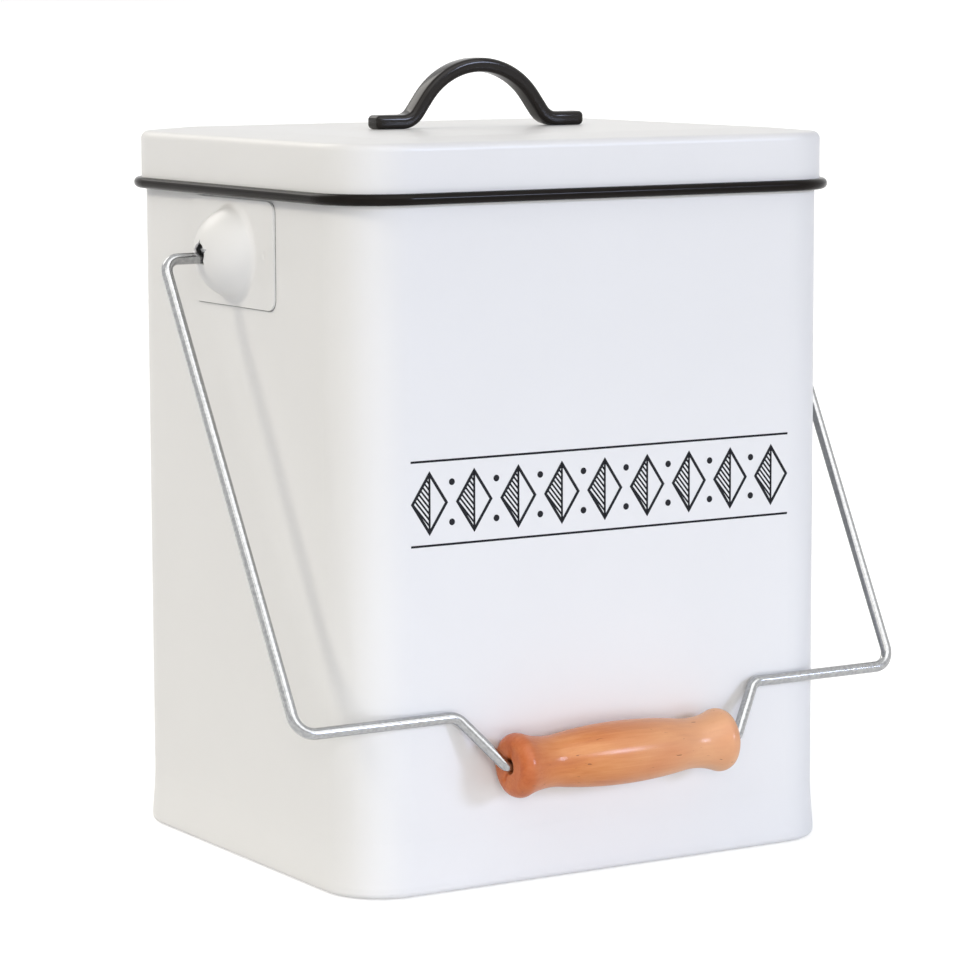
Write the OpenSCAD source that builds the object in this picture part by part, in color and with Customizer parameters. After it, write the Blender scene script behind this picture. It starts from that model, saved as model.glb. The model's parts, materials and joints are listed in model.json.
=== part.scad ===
// Kitchen caddy: a rounded-rectangle sheet steel body with a seamed base, two
// pressed ears that carry a bent wire bail with a turned wooden grip, and a
// deep-skirted lift-off lid with a rolled bead and a strap handle.
// The origin is the centre of the base on the floor. The bail hangs at the front, -Y.

/* [Body] */
// Width of the body between its side faces
body_w = 180; // [160:1:220]
// Depth of the body between its front and back faces
body_d = 153; // [135:1:185]
// Height of the body's rim above the floor
body_h = 231; // [215:1:270]
// Outer radius of the body's upright corners
corner_r = 19; // [17:0.5:26]
// Thickness of the body sheet
body_t = 0.6; // [0.5:0.1:0.9]
// Thickness of the rolled hem round the rim
hem_w = 1.8; // [1.8:0.1:2.4]
// Height of the hem's inner leg
hem_h = 6; // [4:0.5:10]
// Width of the flat lock seam down the back
lock_seam_w = 6; // [4:0.5:9]

/* [Base] */
// Height of the base seam
base_seam_h = 6; // [5:0.1:7]
// Height at which the base seam stands out most
base_seam_flare = 3.4; // [2.4:0.1:4]
// How far the base seam stands out from the body
base_seam_proud = 1; // [0.8:0.1:1.8]
// Outer edge radius under the base seam
base_seam_r = 1.8; // [1:0.1:2]
// Thickness of the seam's outer fold at its top edge
base_edge_t = 0.3; // [0.2:0.05:0.6]
// Thickness of the seam's inner fold
base_fold_t = 1; // [0.8:0.1:1.5]
// Thickness of the base sheet
base_t = 0.6; // [0.5:0.1:0.8]
// Height of the base panel's edge above the floor
base_recess = 8.5; // [7.5:0.5:12]
// Height that the middle of the base is pressed up
base_dish = 1.2; // [0.6:0.1:2.5]
// Width of the sloping band round the pressed middle
base_band_w = 6; // [4:0.5:9]
// Bend radius between the base panel and its flange
base_bend_r = 1.5; // [1:0.1:2.5]

/* [Lid] */
// Thickness of the lid sheet
lid_t = 0.6; // [0.5:0.1:0.9]
// Gap between the lid's skirt and the body
lid_gap = 1; // [0.8:0.1:1.5]
// Gap between the body's rim and the lid that rests on it
lid_seat_gap = 0.3; // [0.2:0.05:0.5]
// Drop from the lid's top edge to the middle of its bead
skirt_drop = 16.9; // [12:0.1:24]
// Outer radius of the lid's shoulder
shoulder_r = 2.5; // [2:0.1:3.2]
// Rise of the lid's middle above its edge
crown_h = 1.1; // [0.5:0.1:2.5]
// Width of the sloping band round the lid's middle
crown_band_w = 14; // [8:0.5:14.5]
// Diameter of the rolled bead
bead_d = 3.6; // [3:0.1:4.4]
// Gap between the bead and the body
bead_gap = 0.5; // [0.4:0.05:0.8]

/* [Lid handle] */
// Length over both feet
handle_l = 79; // [76:1:100]
// Width of the strap
handle_w = 7.5; // [6:0.5:12]
// Thickness of the strap
handle_t = 4.6; // [4:0.1:6]
// Rise of the strap's top above the lid
handle_rise = 22.6; // [20:0.1:27]
// Slope of the strap's straight legs, in degrees
handle_slope = 54; // [48:1:60]
// Radius of the strap's arch, at the middle of its thickness
handle_arch_r = 25; // [20:0.5:28]
// Radius of the bend above each foot, at the middle of the thickness
handle_bend_r = 6.9; // [4:0.1:8]
// Edge radius of the strap
handle_edge_r = 1.7; // [1:0.1:1.9]
// Diameter of the two screws that hold the handle
screw_d = 4; // [3:0.5:4.5]
// Depth of the screws in the feet
screw_depth = 3.2; // [2.4:0.1:3.3]
// Diameter of the screw heads
screw_head_d = 7.6; // [6.8:0.1:9]
// Height of the screw heads
screw_head_h = 2.4; // [1.6:0.1:3]
// Clearance of the screws in the lid's holes
screw_gap = 0.1; // [0.05:0.05:0.3]

/* [Ears] */
// Width of an ear's plate
ear_w = 55; // [48:1:64]
// Height of an ear's plate
ear_h = 34; // [30:0.5:40]
// Corner radius of an ear's plate
ear_corner_r = 3.8; // [2:0.1:6]
// Thickness of the ear sheet
ear_t = 0.8; // [0.7:0.1:1.2]
// Gap between an ear and the bead above it
ear_bead_gap = 0.7; // [0.4:0.1:2]
// Diameter of the dome where it leaves the plate
dome_d = 33.2; // [28:0.2:36]
// Height of the dome above the plate
dome_h = 12; // [9:0.5:13]
// Radius of the bend round the foot of the dome
dome_foot_r = 2.5; // [1:0.25:4]
// Thickness of the sheet where the dome is drawn
dome_t = 0.7; // [0.5:0.1:0.7]
// Diameter of the pierced hole
ear_hole_d = 6.6; // [5.8:0.1:7]
// Length of the tears round the pierced hole
tear_l = 1.2; // [0.6:0.1:1.6]
// Width of a tear where it leaves the pierced hole
tear_w = 3.6; // [2:0.1:4]
// Number of tears round the pierced hole
tears = 5; // [4:1:7]
// Distance of each weld spot from the middle of the ear
weld_pitch = 21.5; // [19.5:0.5:24]
// Diameter of a weld spot
weld_d = 3; // [2:0.5:4]

/* [Bail] */
// Diameter of the wire
wire_d = 3.6; // [3:0.1:4.2]
// Running clearance between the wire and the lip that it hangs in
wire_gap = 0.08; // [0.04:0.02:0.2]
// Distance of the arms from the body's sides at the pivots
arm_out_top = 25; // [21:0.5:32]
// Distance of the arms from the body's sides at the crossbars
arm_out_low = 21.6; // [16:0.1:32]
// Distance from the pivots to the crossbars
bail_reach = 159.5; // [140:0.5:175]
// How far the grip lies beyond the crossbars
bail_dip = 17.8; // [15:0.1:24]
// Length of a crossbar, from the arm to the drop
crossbar_l = 55.6; // [44:0.1:62]
// Run of a drop along the grip
drop_run = 12.8; // [8:0.1:16]
// Bend radius of the wire beside the ears
bend_top_r = 5; // [4:0.5:8]
// Bend radius of the wire at the arms' lower ends
bend_low_r = 6.5; // [4:0.5:9]
// Bend radius of the wire at the drops
bend_drop_r = 5; // [3.5:0.5:6]
// Bend radius of the wire at the grip's mouths
bend_grip_r = 3.2; // [2.4:0.1:3.6]
// Diameter of the upset heads inside the domes
upset_d = 7.4; // [7.2:0.1:8.4]
// Thickness of the upset heads
upset_t = 1.4; // [1:0.1:2.5]
// Gap between an upset head and the dome
upset_gap = 0.4; // [0.3:0.05:0.8]
// Gap that the hanging bail keeps from the front face
bail_rest_gap = 0.4; // [0.3:0.05:1]

/* [Grip] */
// Diameter of the grip's belly
grip_belly_d = 20; // [18:0.1:24]
// Diameter of the grip's bulged ends
grip_end_d = 20.2; // [18.5:0.1:24]
// Diameter of the grip's necks
grip_neck_d = 16.1; // [12:0.1:17]
// Distance of each neck from its end of the grip
grip_neck_in = 14.5; // [12:0.5:18]
// Distance of each bulge's middle from its end of the grip
grip_bulge_in = 3.6; // [2:0.1:4]
// Radius of the bulges
grip_bulge_r = 4.2; // [4:0.1:6]
// Diameter of the bore
grip_bore_d = 4.5; // [4.4:0.1:6]
// Width and depth of the chamfer at each mouth of the bore
grip_mouth = 0.8; // [0.4:0.1:1.8]
// Gap between the grip's ends and the points where the drops meet its axis, with the grip central
grip_end_gap = 2.2; // [1.8:0.1:4]
// How far the grip has slid along the wire to the left
grip_slid = 1.7; // [0:0.1:1.8]

/* [Hidden] */
$fn = 96;
eps = 0.01;
// a bend is this much thinner all round than the straight stretch that it
// leaves, and the stretch runs this much further into it
bend_step = 0.01;
bend_lap = 0.06;

// slots that hold the edge of a sheet: the body's in the base seam, the skirt's in the bead
slot_z = 1.2;
slot_play = 0.02;

// lid, as distances from the axis of a corner (u) and heights (z)
lid_u = corner_r + lid_gap + lid_t;
lid_under_z = body_h + lid_seat_gap;
lid_edge_z = lid_under_z + lid_t;
lid_top_z = lid_edge_z + crown_h;
bead_u = corner_r + bead_gap + bead_d / 2;
bead_z = lid_edge_z - skirt_drop;

// lid handle: an arch, a straight leg on each side of it and a bend above each foot
bend_sum = handle_arch_r + handle_bend_r;
handle_lift = handle_rise - handle_t;
leg_l = (handle_lift - bend_sum * (1 - cos(handle_slope))) / sin(handle_slope);
foot_x = bend_sum * sin(handle_slope) + leg_l * cos(handle_slope);
foot_mid_z = lid_top_z + handle_t / 2;
arch_z = foot_mid_z + handle_lift - handle_arch_r;
screw_x = (foot_x + handle_l / 2) / 2;

// ears and pivots
ear_z = bead_z - bead_d / 2 - ear_bead_gap - ear_h / 2;
pivot_z = ear_z - (ear_hole_d / 2 - wire_d / 2 - wire_gap);
dome_r = (pow(dome_d / 2, 2) + pow(dome_h, 2)) / (2 * dome_h) - dome_foot_r;
dome_x = ear_t + dome_h - dome_r;
weld_dent = ear_t / 4;
weld_r = (pow(weld_d / 2, 2) + pow(weld_dent, 2)) / (2 * weld_dent);

// upset head: as far out as the dome's inside lets its rim go
upset_reach = upset_d / 2 + ear_z - pivot_z;
upset_x = body_w / 2 + dome_x + sqrt(pow(dome_r - dome_t, 2) - pow(upset_reach, 2)) - upset_gap;

// bail: rests against the front face with its crossbars or its grip
grip_reach = bail_reach + bail_dip;
rest_wire = asin((body_d / 2 + wire_d / 2 + bail_rest_gap) / bail_reach);
rest_grip = asin((body_d / 2 + max(grip_belly_d, grip_end_d) / 2 + bail_rest_gap) / grip_reach);
rest_angle = max(rest_wire, rest_grip);
arm_x = body_w / 2 + arm_out_top;
low_x = body_w / 2 + arm_out_low;
drop_x = low_x - crossbar_l;
mouth_x = drop_x - drop_run;
half_bail = [[upset_x - upset_t / 2, 0], [arm_x, 0], [low_x, -bail_reach],
             [drop_x, -bail_reach], [mouth_x, -grip_reach]];
half_bend = [bend_top_r, bend_low_r, bend_drop_r, bend_grip_r];

// grip: three arcs that run into each other, the neck's and the belly's derived
grip_l = 2 * (mouth_x - grip_end_gap);
bulge_y = grip_l / 2 - grip_bulge_in;
bulge_x = grip_end_d / 2 - grip_bulge_r;
neck_y = grip_l / 2 - grip_neck_in;
neck_dx = grip_neck_d / 2 - bulge_x;
neck_dy = bulge_y - neck_y;
neck_r = (pow(neck_dx, 2) + pow(neck_dy, 2) - pow(grip_bulge_r, 2))
       / (grip_end_d - grip_neck_d);
neck_x = grip_neck_d / 2 + neck_r;
belly_k = (grip_belly_d - grip_neck_d) / 2;
belly_r = (pow(neck_y, 2) + pow(belly_k, 2)) / (2 * belly_k) - neck_r;
belly_x = grip_belly_d / 2 - belly_r;
to_bulge_y = bulge_y - neck_dy * grip_bulge_r / (neck_r + grip_bulge_r);
to_belly_y = neck_y * belly_r / (neck_r + belly_r);
// the belly and the bulges run this far on inside the necks, and the neck's arc
// is this much larger, so that the arcs cross and don't just touch
arc_lap = 1;
arc_cut = 0.002;

// ---- shared shapes ----

// Runs a profile round the body's plan. In the profile, x is the distance from
// the axis of a corner and y is the height.
module run_round() {
    for (k = [0:3]) {
        along = k % 2 == 0 ? [body_w, body_d] : [body_d, body_w];
        rotate([0, 0, 90 * k]) translate([along[0] / 2 - corner_r, along[1] / 2 - corner_r, 0]) {
            rotate_extrude(angle = 90) children();
            rotate([90, 0, 0]) linear_extrude(along[1] - 2 * corner_r) children();
        }
    }
}

// A flat middle for what runs round
module middle(z, t) {
    translate([corner_r - body_w / 2, corner_r - body_d / 2, z])
        cube([body_w - 2 * corner_r, body_d - 2 * corner_r, t]);
}

// A quarter of a bent sheet, from straight up to straight in
module quarter_bend(u, z, r, t) {
    translate([u, z]) intersection() {
        difference() {
            circle(r);
            circle(r - t);
        }
        square(r);
    }
}

// A sheet that starts level at u and slopes up to a flat middle
module dished(u, z, t, rise, band) {
    polygon([[0, z + rise], [u - band, z + rise], [u, z], [u, z + t],
             [u - band, z + rise + t], [0, z + rise + t]]);
}

// ---- body ----

module body_wrap() {
    hem_r = hem_w / 2;
    color("whitesmoke") {
        difference() {
            union() {
                run_round() {
                    translate([corner_r - body_t, slot_z]) square([body_t, body_h - hem_r - slot_z]);
                    translate([corner_r - hem_w, body_h - hem_h]) square([body_t, hem_h - hem_r]);
                    translate([corner_r - hem_r, body_h - hem_r]) intersection() {
                        difference() {
                            circle(hem_r);
                            circle(hem_r - body_t);
                        }
                        translate([-hem_r, 0]) square([hem_w, hem_r]);
                    }
                }
                lock_seam();
            }
            // the line where the seam closes, outside
            translate([-body_t / 4, body_d / 2 - body_t / 3, base_seam_h + 1])
                cube([body_t / 2, body_t, lid_edge_z]);
        }
    }
}

// Two more layers of sheet, folded flat against the inside of the back
module lock_seam() {
    low = base_recess + base_t + 1;
    translate([-lock_seam_w / 2, body_d / 2 - 2.5 * body_t, low])
        cube([lock_seam_w, 2 * body_t, body_h - hem_h - low - 1]);
}

module base_pan() {
    fold_u = corner_r - body_t - slot_play;
    lip_u = corner_r + base_seam_proud - base_seam_r;
    color("gainsboro") {
        run_round() {
            difference() {
                union() {
                    translate([lip_u, base_seam_r]) circle(base_seam_r);
                    polygon([[fold_u - base_fold_t, 0], [lip_u, 0], [lip_u, base_seam_r],
                             [lip_u + base_seam_r, base_seam_r], [lip_u + base_seam_r, base_seam_flare],
                             [corner_r + base_edge_t, base_seam_h], [fold_u - base_fold_t, base_seam_h]]);
                }
                translate([fold_u, slot_z]) square([body_t + 2 * slot_play, base_seam_h]);
            }
            translate([fold_u - base_t, base_seam_h])
                square([base_t, base_recess + base_t - base_bend_r - base_seam_h]);
            quarter_bend(fold_u - base_bend_r, base_recess + base_t - base_bend_r, base_bend_r, base_t);
            dished(fold_u - base_bend_r, base_recess, base_t, base_dish, base_band_w);
        }
        middle(base_recess + base_dish, base_t);
    }
}

// ---- ears ----

// Profile of the dome: x is the distance from its axis, y the height off the
// wall. The sheet is a ball above and a rounded bend at its foot.
module dome_profile(inset) {
    foot_r = dome_foot_r + inset;
    foot_y = ear_t + dome_foot_r;
    meet_y = dome_x + (foot_y - dome_x) * (dome_r - inset) / (dome_r + dome_foot_r);
    difference() {
        square([dome_d / 2, meet_y]);
        translate([dome_d / 2, foot_y]) circle(foot_r);
    }
    translate([0, dome_x]) intersection() {
        circle(dome_r - inset);
        translate([0, meet_y - dome_x]) square(dome_r);
    }
}

// A pressed ear, flat on the wall, with its dome along +Z and its top along +Y
module ear() {
    difference() {
        union() {
            linear_extrude(ear_t) difference() {
                union() {
                    square([ear_w, ear_h - 2 * ear_corner_r], center = true);
                    square([ear_w - 2 * ear_corner_r, ear_h], center = true);
                    for (sx = [-1, 1], sy = [-1, 1])
                        translate([sx * (ear_w / 2 - ear_corner_r), sy * (ear_h / 2 - ear_corner_r)])
                            circle(ear_corner_r);
                }
                circle(d = dome_d);
            }
            rotate_extrude() difference() {
                dome_profile(0);
                dome_profile(dome_t);
            }
        }
        translate([0, 0, dome_x]) linear_extrude(dome_r + 1) pierced();
        for (s = [-1, 1])
            translate([s * weld_pitch, 0, ear_t - weld_dent + weld_r]) sphere(weld_r);
    }
}

// A hole that was pierced and not drilled: round, with short tears
module pierced() {
    circle(d = ear_hole_d);
    for (k = [0:tears - 1])
        rotate(90 + 360 * k / tears)
            polygon([[ear_hole_d / 4, -tear_w / 2], [ear_hole_d / 2 + tear_l, 0], [ear_hole_d / 4, tear_w / 2]]);
}

module ear_right() {
    color("white") translate([body_w / 2, 0, ear_z]) rotate([90, 0, 90]) ear();
}

module ear_left() {
    color("white") mirror([1, 0, 0]) translate([body_w / 2, 0, ear_z]) rotate([90, 0, 90]) ear();
}

// ---- bail ----

function unit(v) = v / norm(v);
function bend_back(p, q, s, r) =
    let (a = unit(q - p), b = unit(s - q)) r * tan(acos(a * b) / 2);

// A straight stretch of wire between two points of the XZ plane
module wire_straight(p, q) {
    d = q - p;
    translate([p[0], 0, p[1]]) rotate([0, atan2(d[0], d[1]), 0]) cylinder(h = norm(d), d = wire_d);
}

// The bend of the wire at q, on the way from p to s
module wire_bend(p, q, s, r) {
    a = unit(q - p);
    b = unit(s - q);
    turn = sign(a[0] * b[1] - a[1] * b[0]);
    side = turn * [-a[1], a[0]];
    mid = q - a * bend_back(p, q, s, r) + side * r;
    first = turn > 0 ? -side : -turn * [-b[1], b[0]];
    translate([mid[0], 0, mid[1]]) rotate([90, 0, 0])
        rotate([0, 0, atan2(first[1], first[0])])
            rotate_extrude(angle = acos(a * b)) translate([r, 0]) circle(r = wire_d / 2 - bend_step);
}

module half_wire() {
    ends = concat(half_bail, [[0, -grip_reach]]);
    back = [for (i = [0:len(ends) - 1]) i == 0 || i == len(ends) - 1 ? bend_lap
            : bend_back(ends[i - 1], ends[i], ends[i + 1], half_bend[i - 1])];
    for (i = [0:len(ends) - 2]) {
        way = unit(ends[i + 1] - ends[i]);
        wire_straight(ends[i] + way * (back[i] - bend_lap), ends[i + 1] - way * (back[i + 1] - bend_lap));
        if (i > 0) wire_bend(ends[i - 1], ends[i], ends[i + 1], half_bend[i - 1]);
    }
    translate([upset_x - upset_t, 0, 0]) rotate([0, 90, 0]) cylinder(h = upset_t, d = upset_d);
}

module bail_wire() {
    color("silver") translate([0, 0, pivot_z]) rotate([-rest_angle, 0, 0]) {
        for (m = [0, 1]) mirror([m, 0, 0]) half_wire();
        // the stretch through the grip
        wire_straight([-mouth_x / 2, -grip_reach], [mouth_x / 2, -grip_reach]);
    }
}

// ---- grip ----

module grip_half_profile() {
    // belly
    intersection() {
        translate([belly_x, 0]) circle(belly_r, $fn = 360);
        square([grip_belly_d, to_belly_y + arc_lap]);
    }
    // neck
    difference() {
        translate([0, to_belly_y]) square([neck_x, to_bulge_y - to_belly_y]);
        translate([neck_x, neck_y]) circle(neck_r + arc_cut);
    }
    // bulge
    bulge_l = grip_l / 2 - to_bulge_y + arc_lap;
    translate([0, grip_l / 2 - bulge_l]) square([bulge_x, bulge_l]);
    intersection() {
        translate([bulge_x, bulge_y]) circle(grip_bulge_r);
        translate([0, grip_l / 2 - bulge_l]) square([grip_end_d, bulge_l]);
    }
}

module grip() {
    color("peru") translate([0, 0, pivot_z]) rotate([-rest_angle, 0, 0])
        translate([-grip_slid, 0, -grip_reach]) rotate([0, 90, 0]) rotate_extrude() difference() {
            union() {
                grip_half_profile();
                mirror([0, 1]) grip_half_profile();
            }
            translate([0, -grip_l]) square([grip_bore_d / 2, 2 * grip_l]);
            for (m = [0, 1]) mirror([0, m]) polygon([[0, grip_l / 2 + eps],
                [grip_bore_d / 2 + grip_mouth + eps, grip_l / 2 + eps],
                [grip_bore_d / 2, grip_l / 2 - grip_mouth], [0, grip_l / 2 - grip_mouth]]);
        }
}

// ---- lid ----

module lid_shell() {
    color("white") difference() {
        union() {
            run_round() {
                translate([lid_u - lid_t, bead_z]) square([lid_t, lid_edge_z - shoulder_r - bead_z]);
                quarter_bend(lid_u - shoulder_r, lid_edge_z - shoulder_r, shoulder_r, lid_t);
                dished(lid_u - shoulder_r, lid_under_z, lid_t, crown_h, crown_band_w);
            }
            middle(lid_top_z - lid_t, lid_t);
        }
        for (s = [-1, 1])
            translate([s * screw_x, 0, lid_top_z - 2 * lid_t])
                cylinder(h = 3 * lid_t, d = screw_d + 2 * screw_gap);
    }
}

module lid_rim() {
    color("#1c1c1c") run_round() difference() {
        translate([bead_u, bead_z]) circle(d = bead_d);
        translate([lid_u - lid_t - slot_play, bead_z]) square([lid_t + 2 * slot_play, bead_d]);
    }
}

// Section of the strap: x across its thickness, y across its width
module strap_section(inset = 0) {
    edge = handle_edge_r - inset;
    square([handle_t - 2 * inset, handle_w - 2 * handle_edge_r], center = true);
    square([handle_t - 2 * handle_edge_r, handle_w - 2 * inset], center = true);
    for (sx = [-1, 1], sy = [-1, 1])
        translate([sx * (handle_t / 2 - handle_edge_r), sy * (handle_w / 2 - handle_edge_r)])
            circle(edge, $fn = 48);
}

// A bend of the strap in the XZ plane
module strap_bend(x, z, r, from, turn) {
    translate([x, 0, z]) rotate([90, 0, 0]) rotate([0, 0, from])
        rotate_extrude(angle = turn) translate([r, 0]) strap_section(bend_step);
}

// The straight leg that slopes down from the arch
module strap_leg() {
    translate([0, 0, arch_z]) rotate([0, handle_slope, 0])
        translate([-bend_lap, 0, handle_arch_r]) rotate([90, 0, 90])
            linear_extrude(leg_l + 2 * bend_lap) rotate(90) strap_section();
}

// A flat foot, with its outer end rounded up and down
module strap_foot() {
    run = handle_l / 2 - foot_x;
    difference() {
        intersection() {
            translate([foot_x - bend_lap, 0, foot_mid_z]) rotate([90, 0, 90])
                linear_extrude(run + bend_lap) rotate(90) strap_section();
            translate([0, handle_w, 0]) rotate([90, 0, 0]) linear_extrude(2 * handle_w) {
                translate([foot_x - 1, lid_top_z]) square([run + 1 - handle_edge_r, handle_t]);
                translate([foot_x - 1, lid_top_z + handle_edge_r])
                    square([run + 1, handle_t - 2 * handle_edge_r]);
                for (z = [handle_edge_r, handle_t - handle_edge_r])
                    translate([handle_l / 2 - handle_edge_r, lid_top_z + z])
                        circle(handle_edge_r, $fn = 48);
            }
        }
        translate([screw_x, 0, lid_top_z - 1]) cylinder(h = 1 + screw_depth, d = screw_d);
    }
}

module lid_handle() {
    color("#1c1c1c") {
        strap_bend(0, arch_z, handle_arch_r, 90 - handle_slope, 2 * handle_slope);
        for (m = [0, 1]) mirror([m, 0, 0]) {
            strap_leg();
            strap_bend(foot_x, foot_mid_z + handle_bend_r, handle_bend_r, 270 - handle_slope, handle_slope);
            strap_foot();
        }
    }
}

module handle_screws() {
    under = lid_top_z - lid_t;
    color("silver") for (s = [-1, 1]) translate([s * screw_x, 0, 0]) {
        translate([0, 0, under]) cylinder(h = lid_t + screw_depth, d = screw_d);
        translate([0, 0, under]) intersection() {
            translate([0, 0, -screw_head_h]) cylinder(h = screw_head_h, d = screw_head_d);
            translate([0, 0, screw_head_d - screw_head_h]) sphere(r = screw_head_d);
        }
    }
}

body_wrap();
base_pan();
ear_left();
ear_right();
bail_wire();
grip();
lid_shell();
lid_rim();
lid_handle();
handle_screws();
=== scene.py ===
# %% [markdown]
# # A sheet steel kitchen caddy
#
# The object is a white caddy of bent and seamed sheet steel. A lid with a deep skirt and a
# black rolled bead drops over its rim, a black strap handle lifts the lid, and a galvanised
# wire bail with a turned wooden grip hangs from two pressed ears. The sheet pieces and the
# ears come from the imported CAD model and only need a finish. The pieces that the eye rests
# on, the grip, the wire and the strap, are modelled again here with softer edges and small
# faults. Four thin things are added on the body: a line of painted shade under each ear's
# edge, the paint above the base seam, and the printed band.

# %% Load the frame
import json
import math

import bmesh
import bpy
from mathutils import Matrix, Vector


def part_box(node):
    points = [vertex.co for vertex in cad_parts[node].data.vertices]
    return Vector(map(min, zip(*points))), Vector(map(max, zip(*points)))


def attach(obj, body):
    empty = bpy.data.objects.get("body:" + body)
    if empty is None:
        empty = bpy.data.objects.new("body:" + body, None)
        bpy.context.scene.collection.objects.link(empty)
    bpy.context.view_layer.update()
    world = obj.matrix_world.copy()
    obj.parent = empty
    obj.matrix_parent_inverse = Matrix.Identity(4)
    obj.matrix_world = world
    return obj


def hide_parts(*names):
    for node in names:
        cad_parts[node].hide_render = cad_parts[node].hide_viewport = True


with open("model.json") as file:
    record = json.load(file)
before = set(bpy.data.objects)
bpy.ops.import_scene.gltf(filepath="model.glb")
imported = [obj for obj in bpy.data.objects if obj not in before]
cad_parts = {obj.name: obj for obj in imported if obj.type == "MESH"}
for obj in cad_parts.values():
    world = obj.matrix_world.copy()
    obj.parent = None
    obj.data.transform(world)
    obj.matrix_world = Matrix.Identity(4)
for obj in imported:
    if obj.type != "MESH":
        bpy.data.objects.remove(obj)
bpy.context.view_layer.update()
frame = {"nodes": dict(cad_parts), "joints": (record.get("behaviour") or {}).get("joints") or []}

MM = 0.001

# %% [markdown]
# ## Where the joints and plates are
#
# Nothing is placed by eye. The hinge of the bail, the line of the grip and the faces of the
# body are read from the frame, so every new piece lands exactly on what carries it.

# %% Read the places from the frame
joints = {j["name"]: j for j in frame["joints"]}
pivot = Vector(joints["bail_swing"]["pos_m"])
grip_centre = Vector(joints["grip_spin"]["pos_m"])
hang = grip_centre - pivot
body_low, body_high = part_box("body_wrap")
front_y = body_low.y
side_x = body_high.x
print("the bail hangs", round(math.degrees(math.atan2(-hang.y, -hang.z)), 2), "degrees forward,",
      round(hang.length, 4), "m from pivots to grip")

# %% [markdown]
# ## The camera
#
# The photograph is taken from the front left, a little above the lid, with a long lens. The
# camera stands on a ball round a point inside the caddy: two angles and a distance place it,
# and a small shift frames it.

# %% Camera
CAMERA_AZIMUTH = -31.26
CAMERA_ELEVATION = 7.27
CAMERA_ROLL = -0.215
CAMERA_DISTANCE = 1.2371
CAMERA_SENSOR, CAMERA_LENS = 36, 140.01
CAMERA_SHIFT = (0.00182, -0.01132)
AIM = Vector((0, 0, 120 * MM))


def direction(azimuth, elevation):
    """The way from the caddy to a camera or a lamp. Azimuth 0 is straight in front."""
    a, e = math.radians(azimuth), math.radians(elevation)
    return Vector((math.sin(a) * math.cos(e), -math.cos(a) * math.cos(e), math.sin(e)))


def camera_axes(back, roll):
    """Right, up and back of a camera that looks at the aim point."""
    r = math.radians(roll)
    right = (-back).cross(Vector((0, 0, 1))).normalized()
    up = right.cross(-back)
    return (math.cos(r) * right + math.sin(r) * up,
            math.cos(r) * up - math.sin(r) * right, back)


camera_data = bpy.data.cameras.new("camera")
camera = bpy.data.objects.new("camera", camera_data)
bpy.context.scene.collection.objects.link(camera)
bpy.context.scene.camera = camera
right, up, back = camera_axes(direction(CAMERA_AZIMUTH, CAMERA_ELEVATION), CAMERA_ROLL)
camera.matrix_world = Matrix.Translation(AIM + back * CAMERA_DISTANCE) @ Matrix(
    (right, up, back)).transposed().to_4x4()
camera_data.sensor_width, camera_data.lens = CAMERA_SENSOR, CAMERA_LENS
camera_data.shift_x, camera_data.shift_y = CAMERA_SHIFT
camera_data.clip_start, camera_data.clip_end = 0.05, 500
print("camera at", [round(v, 3) for v in camera.location])

# %% [markdown]
# ## Floor and backdrop
#
# The photograph is a product shot on white. A white floor in full light would throw too much
# back on the object, so the floor is grey and gets a lift that only the camera and mirror
# rays see. The background stays white, and the object keeps its small shadow. The world does
# the same: weak for the light, white for the eye and for gloss.

# %% Node helpers
def new_finish(name):
    """A material with its node tree and its shader."""
    made = bpy.data.materials.new(name)
    made.use_nodes = True
    return made, made.node_tree, made.node_tree.nodes["Principled BSDF"]


def put(tree, kind, settings=None, **sockets):
    """Adds a node and sets its settings and unlinked sockets."""
    made = tree.nodes.new("ShaderNode" + kind)
    for key, value in (settings or {}).items():
        setattr(made, key, value)
    for key, value in sockets.items():
        made.inputs[key.replace("_", " ")].default_value = value
    return made


def wire_up(tree, *pairs):
    """Links (node, output, node, input) rows."""
    for source, output, target, socket in pairs:
        tree.links.new(source.outputs[output], target.inputs[socket])


def seen_directly(tree):
    """A value of 1 for rays from the camera or off a mirror, and 0 for light."""
    rays = put(tree, "LightPath")
    seen = put(tree, "Math", {"operation": "MAXIMUM"})
    wire_up(tree, (rays, "Is Camera Ray", seen, 0), (rays, "Is Glossy Ray", seen, 1))
    return seen


# %% Floor
FLOOR_WIDTH = 240
FLOOR_Z = -0.4 * MM
FLOOR_GREY = 0.62
FLOOR_LIFT = 0.66

bpy.ops.object.select_all(action="DESELECT")
bpy.ops.mesh.primitive_plane_add(size=FLOOR_WIDTH, location=(0, 0, FLOOR_Z))
floor = bpy.context.object
floor.name = "floor"
floor_paint, tree, shader = new_finish("floor_white")
shader.inputs["Base Color"].default_value = (FLOOR_GREY, FLOOR_GREY, FLOOR_GREY, 1)
shader.inputs["Roughness"].default_value = 0.9
shader.inputs["Specular IOR Level"].default_value = 0.1
glow = put(tree, "Emission")
lift = put(tree, "Math", {"operation": "MULTIPLY"})
lift.inputs[1].default_value = FLOOR_LIFT
both = put(tree, "AddShader")
wire_up(tree, (seen_directly(tree), 0, lift, 0), (lift, 0, glow, "Strength"),
        (shader, 0, both, 0), (glow, 0, both, 1),
        (both, 0, tree.nodes["Material Output"], "Surface"))
floor.data.materials.append(floor_paint)
print("floor:", FLOOR_WIDTH, "m wide")

# %% World
WORLD_STRENGTH = 0.25

world = bpy.data.worlds.new("studio")
bpy.context.scene.world = world
world.use_nodes = True
tree = world.node_tree
sky = tree.nodes["Background"]
sky.inputs["Color"].default_value = (1, 1, 1, 1)
level = put(tree, "MapRange", To_Min=WORLD_STRENGTH, To_Max=1.0)
wire_up(tree, (seen_directly(tree), 0, level, "Value"), (level, 0, sky, "Strength"))
bpy.context.scene.view_settings.view_transform = "Standard"
print("world strength:", WORLD_STRENGTH)

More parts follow.
